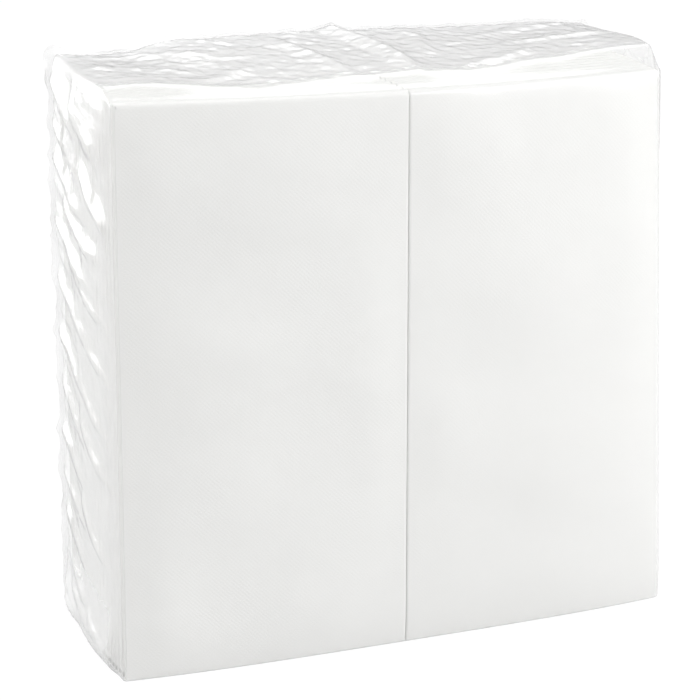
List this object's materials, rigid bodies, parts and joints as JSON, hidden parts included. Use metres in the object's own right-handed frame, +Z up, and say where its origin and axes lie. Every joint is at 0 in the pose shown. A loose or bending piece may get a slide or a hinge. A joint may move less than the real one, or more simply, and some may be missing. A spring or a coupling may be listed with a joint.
{
  "type": "wrapped napkin pack",
  "caption": "Pack of folded white paper dinner napkins in two stacks side by side, sealed in clear film, standing on its narrow edge.",
  "frame": {"origin": "middle of the pack's base, where it stands", "axes": "+Z up, the front face with both stacks looks along -Y, the stacks lie side by side along X, and the napkins one behind the other along Y"},
  "size_m": [0.2058, 0.0921, 0.1973],
  "materials": {
    "film": "clear, glossy, crinkled",
    "paper": "soft white, finely embossed"
  },
  "bodies": {
    "root": {"film_wrap": "film", "left_napkin_01": "paper", "left_napkin_02": "paper", "left_napkin_03": "paper", "left_napkin_04": "paper", "left_napkin_05": "paper", "left_napkin_06": "paper", "left_napkin_07": "paper", "left_napkin_08": "paper", "left_napkin_09": "paper", "left_napkin_10": "paper", "left_napkin_11": "paper", "left_napkin_12": "paper", "left_napkin_13": "paper", "left_napkin_14": "paper", "left_napkin_15": "paper", "left_napkin_16": "paper", "left_napkin_17": "paper", "left_napkin_18": "paper", "left_napkin_19": "paper", "left_napkin_20": "paper", "right_napkin_01": "paper", "right_napkin_02": "paper", "right_napkin_03": "paper", "right_napkin_04": "paper", "right_napkin_05": "paper", "right_napkin_06": "paper", "right_napkin_07": "paper", "right_napkin_08": "paper", "right_napkin_09": "paper", "right_napkin_10": "paper", "right_napkin_11": "paper", "right_napkin_12": "paper", "right_napkin_13": "paper", "right_napkin_14": "paper", "right_napkin_15": "paper", "right_napkin_16": "paper", "right_napkin_17": "paper", "right_napkin_18": "paper", "right_napkin_19": "paper", "right_napkin_20": "paper"}
  },
  "joints": []
}
